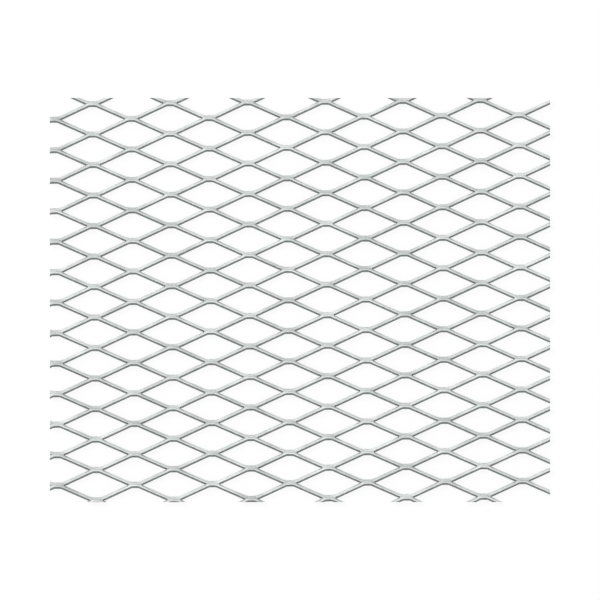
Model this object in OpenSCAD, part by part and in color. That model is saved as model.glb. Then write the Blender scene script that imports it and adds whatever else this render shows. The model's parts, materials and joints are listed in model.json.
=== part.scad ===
// Expanded metal sheet with raised diamonds, cut to a small rectangular panel.
// It lies flat: +X runs along the long way of the diamonds, +Y along the short way and +Z is up.
// A toothed blade slits and stretches the blank one strand at a time. Every strand is a bent
// strip of the blank, one feed wide, and it stays joined to the next strand at flat bonds.

/* [Panel] */
// Length of the cut panel, along the long way of the diamonds
panel_length = 196.8; // [120:0.1:230]
// Width of the cut panel, along the short way of the diamonds
panel_width = 159; // [90:0.1:190]
// Angle between the rows of diamonds and the cut edge, as the shear left it
cut_angle = 0.575; // [0:0.005:1.5]
// Middle of the bond nearest the middle of the panel, along the length
bond_offset_x = -4.62; // [-7.5:0.01:7.5]
// Middle of the same bond, along the width
bond_offset_y = -0.12; // [-3:0.01:3]

/* [Mesh] */
// Long way of a diamond, from bond middle to bond middle
long_way = 30.5; // [26:0.1:36]
// Feed of the blank at each stroke, which is the width of a strand
strand_width = 1.75; // [1.4:0.01:2.2]
// Depth that the blade pushes each new strand down
stroke_drop = 5.74; // [4.8:0.01:6.4]
// Thickness of the blank
sheet_thickness = 1.4; // [1:0.05:1.8]

/* [Bends] */
// Half length of the flat where a strand hangs from the strand behind it
upper_flat = 0.7; // [0.4:0.05:1.2]
// Inside radius of the bend beside that flat
upper_radius = 1.6; // [1.2:0.1:3]
// Half length of the flat where the tip of a tooth pressed the strand down
lower_flat = 0.1; // [0.05:0.05:1]
// Inside radius of the bend that the tooth left beside it
lower_radius = 7.2; // [4:0.1:8]

/* [Hidden] */
half_long = long_way / 2;
half_short = norm([strand_width, stroke_drop]);
// Turn of the strands about the long way that brings the stepped rows level
level_turn = atan2(strand_width, stroke_drop);
mesh_height = 2 * strand_width * cos(level_turn) + sheet_thickness * sin(level_turn);
// Slope of the straight leg that is tangent to the bends at both of its ends
leg_run = half_long - upper_flat - lower_flat;
bend_sum = upper_radius + lower_radius + sheet_thickness;
bend_rest = bend_sum - stroke_drop;
leg_angle = asin(bend_sum / norm([leg_run, bend_rest])) - atan2(bend_rest, leg_run);
// Straight steps in each bend
upper_steps = 2;
lower_steps = 3;
// Depth that a strand shares with the strand in front of it, so that their bonds are one metal
bond_lap = strand_width / 100;
// Rows and half diamonds to look through for bonds in the panel, each way from the middle
rows_reach = ceil(panel_width / half_short);
bonds_reach = ceil(panel_length / half_long);
metal_grey = [0.76, 0.78, 0.78];

// Place of a bond in the panel, k half diamonds along and r rows across
function bond_place(k, r) = [
    bond_offset_x + k * half_long * cos(cut_angle) - r * half_short * sin(cut_angle),
    bond_offset_y + k * half_long * sin(cut_angle) + r * half_short * cos(cut_angle)
];

// Whether that bond lies inside the cut edges, so that it holds its strands
function is_held(k, r) =
    let (place = bond_place(k, r))
    abs(place[0]) < panel_length / 2 && abs(place[1]) < panel_width / 2;

// Low bonds of a strand lie on its own row and high bonds on the next row
function is_low(k, r) = (k + r) % 2 == 0;

// Bonds in the panel that a strand hangs on
function held_bonds(r) = [
    for (k = [-bonds_reach : bonds_reach])
        if (is_held(k, is_low(k, r) ? r : r + 1)) k
];

// Bend from a flat to a leg, as [distance from the middle of the flat, distance off the flat]
function bend(flat, radius, steps) = [
    for (s = [0 : steps])
        let (turn = leg_angle * s / steps)
        [flat + radius * sin(turn), radius * (1 - cos(turn))]
];

// One edge of a strand around bond k, from the leg before it to the leg after it
function bond_edge(k, r, low_radius, high_radius) =
    let (
        low = is_low(k, r),
        half = low ? bend(lower_flat, low_radius, lower_steps) : bend(upper_flat, high_radius, upper_steps),
        level = low ? 0 : stroke_drop,
        side = low ? 1 : -1
    )
    concat(
        [for (s = [len(half) - 1 : -1 : 0]) [k * half_long - half[s][0], level + side * half[s][1]]],
        [for (p = half) [k * half_long + p[0], level + side * p[1]]]
    );

// One edge of a strand from the middle of bond first to the middle of bond last
function strand_edge(first, last, r, low_radius, high_radius) = concat(
    [[first * half_long, is_low(first, r) ? 0 : stroke_drop]],
    [
        for (k = [first : last])
            for (p = bond_edge(k, r, low_radius, high_radius))
                if (p[0] > first * half_long && p[0] < last * half_long) p
    ],
    [[last * half_long, is_low(last, r) ? 0 : stroke_drop]]
);

// Outline of a strand seen along the feed: its under edge, then its upper edge back again
module strand_outline(first, last, r) {
    under_edge = strand_edge(first, last, r, lower_radius + sheet_thickness, upper_radius);
    upper_edge = strand_edge(first, last, r, lower_radius, upper_radius + sheet_thickness);
    polygon(concat(
        under_edge,
        [for (s = [len(upper_edge) - 1 : -1 : 0]) upper_edge[s] + [0, sheet_thickness]]
    ));
}

// Strands stepped one feed back and one drop up, each reaching one bond past those that hold it
module stepped_strands() {
    for (r = [-rows_reach : rows_reach]) {
        held = held_bonds(r);
        if (len(held) > 0)
            translate([0, r * stroke_drop, -r * strand_width])
                linear_extrude(height = strand_width + bond_lap)
                    strand_outline(min(held) - 1, max(held) + 1, r);
    }
}

// The strands turned level, with the middle of the reference bond on the Z axis
module level_mesh() {
    bond_y = sheet_thickness / 2 * cos(level_turn) - strand_width * sin(level_turn);
    translate([0, -bond_y, 0])
        rotate([level_turn, 0, 0])
            stepped_strands();
}

// The panel sheared out of the level mesh along four straight edges
module expanded_sheet() {
    color(metal_grey)
        intersection() {
            translate([bond_offset_x, bond_offset_y, 0])
                rotate([0, 0, cut_angle])
                    level_mesh();
            translate([-panel_length / 2, -panel_width / 2, -mesh_height])
                cube([panel_length, panel_width, 3 * mesh_height]);
        }
}

expanded_sheet();
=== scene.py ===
import json
import math

import bmesh
import bpy
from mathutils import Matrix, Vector

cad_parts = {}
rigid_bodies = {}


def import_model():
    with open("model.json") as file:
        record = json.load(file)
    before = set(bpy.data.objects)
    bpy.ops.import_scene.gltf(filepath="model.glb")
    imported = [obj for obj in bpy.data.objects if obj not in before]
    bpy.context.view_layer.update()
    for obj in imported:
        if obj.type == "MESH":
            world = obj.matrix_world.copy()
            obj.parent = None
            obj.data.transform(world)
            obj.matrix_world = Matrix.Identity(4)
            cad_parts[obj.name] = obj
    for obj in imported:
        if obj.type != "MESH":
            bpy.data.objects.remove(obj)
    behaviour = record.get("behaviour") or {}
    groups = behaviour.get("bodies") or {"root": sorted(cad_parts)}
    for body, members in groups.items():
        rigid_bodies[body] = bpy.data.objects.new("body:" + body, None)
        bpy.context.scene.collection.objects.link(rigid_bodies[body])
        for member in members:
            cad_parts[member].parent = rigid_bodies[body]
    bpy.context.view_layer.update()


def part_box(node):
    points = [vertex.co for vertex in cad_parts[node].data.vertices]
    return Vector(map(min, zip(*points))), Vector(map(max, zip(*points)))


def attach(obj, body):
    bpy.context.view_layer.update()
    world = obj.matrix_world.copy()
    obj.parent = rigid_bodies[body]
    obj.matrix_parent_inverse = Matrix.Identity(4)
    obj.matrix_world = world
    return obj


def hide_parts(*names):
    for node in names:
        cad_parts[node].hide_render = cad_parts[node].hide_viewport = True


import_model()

# Expanded metal sheet
# A thin steel blank that a toothed blade slits and stretches, one strand at a time, into a single
# mesh of raised diamonds. Each strand stays joined to the next at flat bonds, and the finished mesh
# is sheared to a small panel, so its rows run a little out of square with the cut edges.
MM = 0.001
half_long = 30.5 / 2 * MM
strand_width = 1.75 * MM
stroke_drop = 5.74 * MM
sheet_thickness = 1.4 * MM
level_turn = math.atan2(strand_width, stroke_drop)
cut_angle = math.radians(0.575)
bond_offset = Vector((-4.62 * MM, -0.12 * MM, 0))

# The two bends beside a bond, and the straight leg that runs on from one bend to the next
upper_flat = 0.7 * MM
upper_radius = 1.6 * MM
lower_flat = 0.1 * MM
lower_radius = 7.2 * MM
leg_run = half_long - upper_flat - lower_flat
bend_sum = upper_radius + lower_radius + sheet_thickness
bend_rest = bend_sum - stroke_drop
leg_angle = math.asin(bend_sum / math.hypot(leg_run, bend_rest)) - math.atan2(bend_rest, leg_run)
leg_length = (leg_run - bend_sum * math.sin(leg_angle)) / math.cos(leg_angle)

# What the blade leaves on a slit face: an edge drawn down, a smooth land and a torn lower half, which
# takes a short way along the leg to reach its full depth
rollover = 0.2 * MM
tear_depth = 0.12 * MM
slit_growth = 0.9 * MM
slit_start = lower_flat

# Corners nearer to each other than this count as one
near = 0.001 * MM


def pick(kind, wanted):
    """Selects the corners or faces of the mesh in edit mode that are wanted, and nothing else."""
    bpy.ops.mesh.select_mode(type=kind)
    bpy.ops.mesh.select_all(action="DESELECT")
    shape = bmesh.from_edit_mesh(bpy.context.object.data)
    for part in shape.verts if kind == "VERT" else shape.faces:
        if wanted(part):
            part.select_set(True)
    shape.select_flush_mode()
    bmesh.update_edit_mesh(bpy.context.object.data)


def shape_slit_face(side, feed, origin, along, drawn_down, pulled_back, open_share):
    """Moves the cut edge and the torn edge of a slit face, and marks its depth where it is open."""
    upward = Vector((-along.y, along.x, 0))
    slit = feed + strand_width if side > 0 else feed
    for cut_depth in (0, 0.5, 1):
        height = sheet_thickness * (1 - cut_depth if side > 0 else cut_depth)

        def on_line(corner):
            reach = corner.co - origin
            level = abs(reach.dot(upward) - height) < near
            return level and abs(corner.co.z - slit) < near and reach.dot(along) > -near

        pick("VERT", on_line)
        shape = bmesh.from_edit_mesh(bpy.context.object.data)
        mark = shape.verts.layers.float["cut_depth"]
        for corner in shape.verts:
            if corner.select:
                corner[mark] = open_share * cut_depth
        bmesh.update_edit_mesh(bpy.context.object.data)
        if cut_depth == 0:
            bpy.ops.transform.translate(value=upward * -side * drawn_down)
        if cut_depth == 1:
            bpy.ops.transform.translate(value=(0, 0, -side * pulled_back))


def strand_half(feed, flat, bend_radius, rise, slit_turn):
    """Models the right half of a strand at a bond, from the middle of the bond to that of a leg."""
    bpy.ops.object.select_all(action="DESELECT")
    bpy.ops.mesh.primitive_cube_add(
        size=1,
        location=(slit_start / 2, sheet_thickness / 2, feed + strand_width / 2),
        scale=(slit_start, sheet_thickness, strand_width))
    strand = bpy.context.object
    bpy.ops.object.transform_apply(location=True, rotation=True, scale=True)
    strand.data.attributes.new("cut_depth", "FLOAT", "POINT")
    strand.data.attributes.new("pressed", "FLOAT", "POINT")
    bpy.ops.object.mode_set(mode="EDIT")

    # Cuts for the line where the land ends, and for the two edges that the blade drew down
    bpy.ops.mesh.select_all(action="SELECT")
    bpy.ops.mesh.bisect(plane_co=(0, sheet_thickness / 2, 0), plane_no=(0, 1, 0), threshold=near)
    for outward, cut in ((1, feed + strand_width - rollover), (-1, feed + rollover)):
        pick("FACE", lambda face: face.normal.y * outward > 0.9)
        bpy.ops.mesh.bisect(plane_co=(0, 0, cut), plane_no=(0, 0, 1), threshold=near)

    # The strand is open in the middle of the bond and where it is one metal with its neighbour
    pick("FACE", lambda face: face.normal.x < -0.9 or face.normal.z * rise > 0.9)
    bpy.ops.mesh.delete(type="FACE")
    shape_slit_face(-rise, feed, Vector((0, 0, 0)), Vector((1, 0, 0)), rollover, tear_depth, 1)
    pick("FACE", lambda face: face.normal.x > 0.9)
    if flat > slit_start:
        bpy.ops.mesh.extrude_region_move(TRANSFORM_OT_translate={"value": (flat - slit_start, 0, 0)})

    # The bend, first as far as the end of the bond, where the slit begins
    bend_height = sheet_thickness + bend_radius if rise > 0 else -bend_radius
    bend_middle = Vector((flat, bend_height, 0))
    under_radius = bend_radius + sheet_thickness if rise > 0 else bend_radius
    for steps, share in ((2, 0.75), (1, 0.25)):
        turn = -rise * share * slit_turn
        bpy.ops.mesh.spin(steps=steps, angle=turn, center=bend_middle, axis=(0, 0, 1))

    # On the way there the edge at the bond is drawn down, most of all just before the slit opens
    for share, drawn_share, open_share in ((0.375, 0.4, 0), (0.75, 1.4, 0), (1, 1, 1)):
        turn = share * slit_turn
        along = Vector((math.cos(turn), rise * math.sin(turn), 0))
        under_edge = bend_middle + Vector((along.y, -along.x, 0)) * rise * under_radius
        shape_slit_face(rise, feed, under_edge, along, drawn_share * rollover, 0, open_share)
    pick("FACE", lambda face: face.normal.dot(along) > 0.99)
    if slit_turn < leg_angle:
        turn = -rise * (leg_angle - slit_turn)
        bpy.ops.mesh.spin(steps=1, angle=turn, center=bend_middle, axis=(0, 0, 1))
        along = Vector((math.cos(leg_angle), rise * math.sin(leg_angle), 0))
        under_edge = bend_middle + Vector((along.y, -along.x, 0)) * rise * under_radius

    # The straight leg as far as its middle: the slit face soon has its full shape
    bpy.ops.mesh.extrude_region_move(TRANSFORM_OT_translate={"value": along * slit_growth})
    shape_slit_face(rise, feed, under_edge + along * slit_growth, along, 0, tear_depth, 1)
    pick("FACE", lambda face: face.normal.dot(along) > 0.99)
    rest_of_leg = along * (leg_length / 2 - slit_growth)
    bpy.ops.mesh.extrude_region_move(TRANSFORM_OT_translate={"value": rest_of_leg})
    bpy.ops.mesh.delete(type="FACE")
    bpy.ops.object.mode_set(mode="OBJECT")
    return strand


# The rear strand, which the tooth pressed down. The bond reaches over most of its bend, and the slit
# tore a little wider at its end, beside the bond.
bond_turn = 0.8 * leg_angle
slit_gape = 0.12 * MM
rear_strand = strand_half(0, lower_flat, lower_radius, 1, bond_turn)
under_radius = lower_radius + sheet_thickness
slit_end = Vector((math.sin(bond_turn), 1 - math.cos(bond_turn), 0)) * under_radius
slit_end += Vector((lower_flat, 0, strand_width))
bpy.ops.object.mode_set(mode="EDIT")
pick("VERT", lambda corner: (corner.co - slit_end).length < near)
bpy.ops.transform.translate(value=(0, slit_gape, 0))

# Painted shade: in the middle of the bond the strand is marked to take a darker colour,
# fully at its lower edge and fading out towards its top
pick("VERT", lambda corner: corner.co.x < lower_flat + near)
shape = bmesh.from_edit_mesh(rear_strand.data)
mark = shape.verts.layers.float["pressed"]
for corner in shape.verts:
    if corner.select:
        corner[mark] = 1 - corner.co.z / strand_width
bmesh.update_edit_mesh(rear_strand.data)
bpy.ops.object.mode_set(mode="OBJECT")

# The front strand, which hangs from the rear one. Its torn edge runs straighter through the bond than
# its bends do, and keeps only a share of their height.
tear_share = 0.35
torn_edge = 2 * strand_width - tear_depth
front_strand = strand_half(strand_width, upper_flat, upper_radius, -1, leg_angle)
bend_end = Vector((math.sin(leg_angle), math.cos(leg_angle) - 1, 0)) * upper_radius
bpy.ops.object.mode_set(mode="EDIT")
pick("VERT", lambda corner: (
    abs(corner.co.z - torn_edge) < near
    and corner.co.y < near
    and corner.co.x < upper_flat + bend_end.x + near))
bpy.ops.transform.resize(value=(1, tear_share, 1), center_override=bend_end)
bpy.ops.object.mode_set(mode="OBJECT")

# The strands are joined into one bond, and the left half of the bond mirrors the right half
bpy.ops.object.select_all(action="DESELECT")
front_strand.select_set(True)
rear_strand.select_set(True)
bpy.context.view_layer.objects.active = rear_strand
bpy.ops.object.join()
sheet = bpy.context.object
sheet.name = "stretched_mesh"
bpy.ops.object.modifier_add(type="MIRROR")
sheet.modifiers[-1].merge_threshold = near
bpy.ops.object.modifier_apply(modifier=sheet.modifiers[-1].name)

# Extruding leaves edges and faces in a chance order, so they are sorted by distance from a point aside
bpy.context.scene.cursor.location = (half_long, 2 * half_long, 3 * half_long)
bpy.ops.object.mode_set(mode="EDIT")
bpy.ops.mesh.select_all(action="SELECT")
bpy.ops.mesh.sort_elements(type="CURSOR_DISTANCE", elements={"EDGE", "FACE"})
bpy.ops.object.mode_set(mode="OBJECT")


def linear(hex_colour):
    """Turns an sRGB hex colour into linear red, green, blue and alpha."""
    shares = [int(hex_colour[at:at + 2], 16) / 255 for at in (1, 3, 5)]
    return [c / 12.92 if c <= 0.04045 else ((c + 0.055) / 1.055) ** 2.4 for c in shares] + [1]


def add_node(tree, kind, settings, sources):
    """Adds a node, sets its values and links its inputs, by name or number, to the sources."""
    node = tree.nodes.new(kind)
    for name, value in settings.items():
        if isinstance(name, str) and hasattr(node, name):
            setattr(node, name, value)
        else:
            node.inputs[name].default_value = value
    for name, socket in sources.items():
        tree.links.new(socket, node.inputs[name])
    return node


def add_tones(tree, share, low, high, dark, light):
    """Adds a ramp from a dark to a light colour, for a share that goes from low to high."""
    ramp = add_node(tree, "ShaderNodeValToRGB", {}, {"Fac": share})
    for stop, position, colour in zip(ramp.color_ramp.elements, (low, high), (dark, light)):
        stop.position = position
        stop.color = linear(colour)
    return ramp.outputs["Color"]


# Bright rolled steel: the two faces of the blank, with fine streaks along the way it was rolled
# and a faint cloudiness, so that it shines softly and a little unevenly. Bond middles get painted shade.
rolled_steel = bpy.data.materials.new("bright_rolled_steel")
rolled_steel.use_nodes = True
tree = rolled_steel.node_tree
tree.nodes.clear()
place = add_node(tree, "ShaderNodeTexCoord", {}, {}).outputs["Object"]
streak_size = (1 / (6 * MM), 1 / (0.3 * MM), 1 / (0.3 * MM))
streak_place = add_node(tree, "ShaderNodeMapping", {"Scale": streak_size}, {"Vector": place})
streaks = add_node(
    tree, "ShaderNodeTexNoise", {"Scale": 1, "Detail": 3}, {"Vector": streak_place.outputs[0]})
clouds = add_node(tree, "ShaderNodeTexNoise", {"Scale": 1 / (9 * MM), "Detail": 2}, {"Vector": place})
uneven = add_node(
    tree, "ShaderNodeMath", {"operation": "MULTIPLY_ADD", 1: 0.5},
    {0: streaks.outputs["Fac"], 2: clouds.outputs["Fac"]})
unshaded_tone = add_tones(tree, uneven.outputs[0], 0.5, 1, "#C4C9C7", "#EBEFED")
# Painted shade: the marked bond middles are mixed toward a darker grey
pressed = add_node(tree, "ShaderNodeAttribute", {"attribute_name": "pressed"}, {})
tone = add_node(
    tree, "ShaderNodeMix", {"data_type": "RGBA", 7: linear("#A4A9A8")},
    {0: pressed.outputs["Fac"], 6: unshaded_tone})
dullness = add_node(
    tree, "ShaderNodeMapRange", {"From Min": 0.5, "From Max": 1, "To Min": 0.42, "To Max": 0.32},
    {"Value": uneven.outputs[0]})
relief = add_node(
    tree, "ShaderNodeBump", {"Strength": 0.15, "Distance": 0.02 * MM}, {"Height": streaks.outputs["Fac"]})
metal = add_node(
    tree, "ShaderNodeBsdfPrincipled", {"Metallic": 1},
    {"Base Color": tone.outputs[2], "Roughness": dullness.outputs["Result"],
     "Normal": relief.outputs["Normal"]})
add_node(tree, "ShaderNodeOutputMaterial", {}, {"Surface": metal.outputs[0]})

# Sheared steel: the slit faces. The blade wiped the upper part to a bright land with fine lines along
# its stroke. Below a ragged line the metal tore, and that part is dull and grainy; its dark colour is
# partly painted shade.
sheared_steel = bpy.data.materials.new("sheared_steel")
sheared_steel.use_nodes = True
tree = sheared_steel.node_tree
tree.nodes.clear()
place = add_node(tree, "ShaderNodeTexCoord", {}, {}).outputs["Object"]
stroke_size = (1 / (0.25 * MM), 1 / (3 * MM), 1 / (3 * MM))
stroke_place = add_node(tree, "ShaderNodeMapping", {"Scale": stroke_size}, {"Vector": place})
strokes = add_node(
    tree, "ShaderNodeTexNoise", {"Scale": 1, "Detail": 2}, {"Vector": stroke_place.outputs[0]})
grain = add_node(tree, "ShaderNodeTexNoise", {"Scale": 1 / (0.35 * MM), "Detail": 4}, {"Vector": place})
ragged = add_node(tree, "ShaderNodeTexNoise", {"Scale": 1 / (1.2 * MM), "Detail": 3}, {"Vector": place})
clouds = add_node(tree, "ShaderNodeTexNoise", {"Scale": 1 / (9 * MM), "Detail": 2}, {"Vector": place})
cut_depth = add_node(tree, "ShaderNodeAttribute", {"attribute_name": "cut_depth"}, {})
# The torn part below a ragged line, which takes the roughness, the grain and the painted shade
ragged_depth = add_node(
    tree, "ShaderNodeMath", {"operation": "MULTIPLY_ADD", 1: 0.3},
    {0: ragged.outputs["Fac"], 2: cut_depth.outputs["Fac"]})
torn_and_shaded = add_node(
    tree, "ShaderNodeMapRange",
    {"interpolation_type": "SMOOTHSTEP", "From Min": 0.55, "From Max": 0.65},
    {"Value": ragged_depth.outputs[0]})
uneven = add_node(
    tree, "ShaderNodeMath", {"operation": "MULTIPLY_ADD", 1: 0.5},
    {0: strokes.outputs["Fac"], 2: clouds.outputs["Fac"]})
land_tone = add_tones(tree, uneven.outputs[0], 0.5, 1, "#CACFCD", "#EFF2F0")
# The torn colour is a grainy grey, far darker than steel, and partly painted shade
torn_and_shaded_tone = add_tones(tree, grain.outputs["Fac"], 0.3, 0.7, "#6A706F", "#9BA1A0")
tone = add_node(
    tree, "ShaderNodeMix", {"data_type": "RGBA"}, {0: torn_and_shaded.outputs["Result"], 6: land_tone, 7: torn_and_shaded_tone})
dullness = add_node(
    tree, "ShaderNodeMapRange", {"To Min": 0.3, "To Max": 0.58}, {"Value": torn_and_shaded.outputs["Result"]})
stroke_relief = add_node(
    tree, "ShaderNodeBump", {"Strength": 0.2, "Distance": 0.02 * MM}, {"Height": strokes.outputs["Fac"]})
torn_relief = add_node(
    tree, "ShaderNodeBump", {"Distance": 0.08 * MM},
    {"Strength": torn_and_shaded.outputs["Result"], "Height": grain.outputs["Fac"],
     "Normal": stroke_relief.outputs["Normal"]})
metal = add_node(
    tree, "ShaderNodeBsdfPrincipled", {"Metallic": 1},
    {"Base Color": tone.outputs[2], "Roughness": dullness.outputs["Result"],
     "Normal": torn_relief.outputs["Normal"]})
add_node(tree, "ShaderNodeOutputMaterial", {}, {"Surface": metal.outputs[0]})

# Slit faces stand square to the feed, and every other face is a rolled one
sheet.data.materials.append(rolled_steel)
sheet.data.materials.append(sheared_steel)
bpy.ops.object.mode_set(mode="EDIT")
pick("FACE", lambda face: abs(face.normal.z) > 0.9)
sheet.active_material_index = sheet.data.materials.find(sheared_steel.name)
bpy.ops.object.material_slot_assign()
bpy.ops.object.mode_set(mode="OBJECT")

# Bonds are copied along the rows and from row to row, more of them than the panel holds
panel_low, panel_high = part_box("expanded_sheet")
row_step = Vector((half_long, stroke_drop, -strand_width))
columns = 2 * math.ceil((panel_high.x - panel_low.x) / (4 * half_long)) + 2
rows = 2 * math.ceil((panel_high.y - panel_low.y) / (4 * row_step.yz.length)) + 2
for count, step in (
        (2, row_step),
        (columns, Vector((2 * half_long, 0, 0))),
        (rows, Vector((0, 2 * row_step.y, 2 * row_step.z)))):
    bpy.ops.object.modifier_add(type="ARRAY")
    copies = sheet.modifiers[-1]
    copies.count = count
    copies.use_relative_offset = False
    copies.use_constant_offset = True
    copies.constant_offset_displace = step
    bpy.ops.object.modifier_apply(modifier=copies.name)
sheet.location = (-columns * half_long, -rows * row_step.y, -rows * row_step.z)
bpy.ops.object.transform_apply(location=True, rotation=False, scale=False)

# The stepped rows are turned level, and the mesh is turned a little in its own plane
bond_y = sheet_thickness / 2 * math.cos(level_turn) - strand_width * math.sin(level_turn)
sheet.rotation_euler = (level_turn, 0, cut_angle)
sheet.location = bond_offset + Vector((bond_y * math.sin(cut_angle), -bond_y * math.cos(cut_angle), 0))
bpy.ops.object.transform_apply(location=True, rotation=True, scale=False)

# The legs are welded where they meet, and the panel is sheared out along its four edges, which leaves
# sheared steel on the ends of the strands
bpy.ops.object.mode_set(mode="EDIT")
bpy.ops.mesh.select_all(action="SELECT")
bpy.ops.mesh.remove_doubles(threshold=2 * near)
for corner, outward in (
        (panel_low, (-1, 0, 0)), (panel_low, (0, -1, 0)), (panel_high, (1, 0, 0)), (panel_high, (0, 1, 0))):
    bpy.ops.mesh.select_mode(type="EDGE")
    bpy.ops.mesh.select_all(action="SELECT")
    bpy.ops.mesh.bisect(plane_co=corner, plane_no=outward, clear_outer=True, threshold=near / 10)
    bpy.ops.mesh.select_non_manifold(extend=False)
    bpy.ops.mesh.fill_holes(sides=0)
    bpy.ops.object.material_slot_assign()
    bpy.ops.mesh.quads_convert_to_tris(ngon_method="BEAUTY")

# Ends that the shear cut loose fall away, and what hangs together with the middle bond stays
pick("VERT", lambda corner: (corner.co - bond_offset).xy.length < 2 * strand_width)
bpy.ops.mesh.select_linked()
bpy.ops.mesh.select_all(action="INVERT")
bpy.ops.mesh.delete(type="VERT")
bpy.ops.mesh.select_all(action="SELECT")
bpy.ops.mesh.normals_make_consistent(inside=False)
bpy.ops.object.mode_set(mode="OBJECT")
sharpest_bend = math.radians(50)
bpy.ops.object.shade_smooth_by_angle(angle=sharpest_bend)

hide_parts("expanded_sheet")
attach(sheet, "root")

# Floor
# A plain white floor with a low white wall far round it, which closes the view near the horizon. To the
# eye and in the metal it is nearly all white, and a small matt share keeps the soft shadow of the mesh.
floor_size = 12
wall_height = 0.4
white_share = 0.86
bpy.ops.object.select_all(action="DESELECT")
bpy.ops.mesh.primitive_plane_add(size=floor_size, location=(0, 0, panel_low.z))
floor = bpy.context.object
bpy.ops.object.transform_apply(location=True)
floor.name = "floor"
bpy.ops.object.mode_set(mode="EDIT")
bpy.ops.mesh.select_mode(type="EDGE")
bpy.ops.mesh.select_all(action="SELECT")
bpy.ops.mesh.extrude_edges_move(TRANSFORM_OT_translate={"value": (0, 0, wall_height)})
bpy.ops.object.mode_set(mode="OBJECT")
white_board = bpy.data.materials.new("white_board")
white_board.use_nodes = True
tree = white_board.node_tree
tree.nodes.clear()
matt = add_node(tree, "ShaderNodeBsdfDiffuse", {"Color": linear("#F4F4F4")}, {})
white = add_node(tree, "ShaderNodeEmission", {"Color": linear("#FFFFFF"), "Strength": 1}, {})
ray = add_node(tree, "ShaderNodeLightPath", {}, {}).outputs
seen = ray["Is Camera Ray"]
for way in ("Is Glossy Ray", "Is Transmission Ray"):
    seen = add_node(tree, "ShaderNodeMath", {"operation": "MAXIMUM"}, {0: seen, 1: ray[way]}).outputs[0]
share = add_node(tree, "ShaderNodeMath", {"operation": "MULTIPLY", 1: white_share}, {0: seen})
board = add_node(
    tree, "ShaderNodeMixShader", {}, {0: share.outputs[0], 1: matt.outputs[0], 2: white.outputs[0]})
add_node(tree, "ShaderNodeOutputMaterial", {}, {"Surface": board.outputs[0]})
floor.data.materials.append(white_board)

# Light
# A plain room, bright overhead and dimmer round its walls, with a faint patch of light high at the front
# left and a narrow window low at the back left. A wide lamp on that side only draws the shadows.
room = bpy.data.worlds.new("room")
bpy.context.scene.world = room
room.use_nodes = True
tree = room.node_tree
tree.nodes.clear()
look = add_node(tree, "ShaderNodeTexCoord", {}, {}).outputs["Generated"]
height = add_node(tree, "ShaderNodeSeparateXYZ", {}, {0: look}).outputs["Z"]
glow = add_node(
    tree, "ShaderNodeMapRange",
    {"interpolation_type": "SMOOTHSTEP", "From Max": 0.65, "To Min": 0.44, "To Max": 0.92},
    {"Value": height})

# The patch and the window, full in the core and gone past the rim, as cosines from the middle of each
for towards, rim, core, gain in (
        (Vector((-0.3, -0.53, 0.79)), 0.7, 0.95, 0.12),
        (Vector((-0.6, 0.77, 0.2)), 0.84, 0.95, 1.1)):
    facing = add_node(tree, "ShaderNodeVectorMath", {"operation": "DOT_PRODUCT", 1: towards}, {0: look})
    panel = add_node(
        tree, "ShaderNodeMapRange",
        {"interpolation_type": "SMOOTHSTEP", "From Min": rim, "From Max": core, "To Max": gain},
        {"Value": facing.outputs["Value"]})
    glow = add_node(tree, "ShaderNodeMath", {}, {0: glow.outputs[0], 1: panel.outputs["Result"]})
light = add_node(tree, "ShaderNodeBackground", {"Color": linear("#FFFFFF")}, {"Strength": glow.outputs[0]})
add_node(tree, "ShaderNodeOutputWorld", {}, {"Surface": light.outputs["Background"]})

# The lamp, which the metal doesn't mirror
lamp_place = Vector((-0.9, 0.75, 1.6))
bpy.ops.object.light_add(type="AREA", location=lamp_place)
lamp = bpy.context.object
lamp.data.shape = "DISK"
lamp.data.size = 0.8
lamp.data.energy = 12
lamp.rotation_euler = (-lamp_place).to_track_quat("-Z", "Y").to_euler()
lamp.visible_glossy = False

# Camera
# It looks straight down on the sheet from far off, with the far edge of the sheet at the top.
frame_width = 236.15 * MM
camera_height = 2.5
bpy.ops.object.camera_add(location=(0, 0, panel_high.z / 2 + camera_height), rotation=(0, 0, 0))
camera = bpy.context.object
camera.data.sensor_width = 36
camera.data.lens = camera.data.sensor_width * camera_height / frame_width
bpy.context.scene.camera = camera

bpy.context.scene.view_settings.view_transform = "Standard"
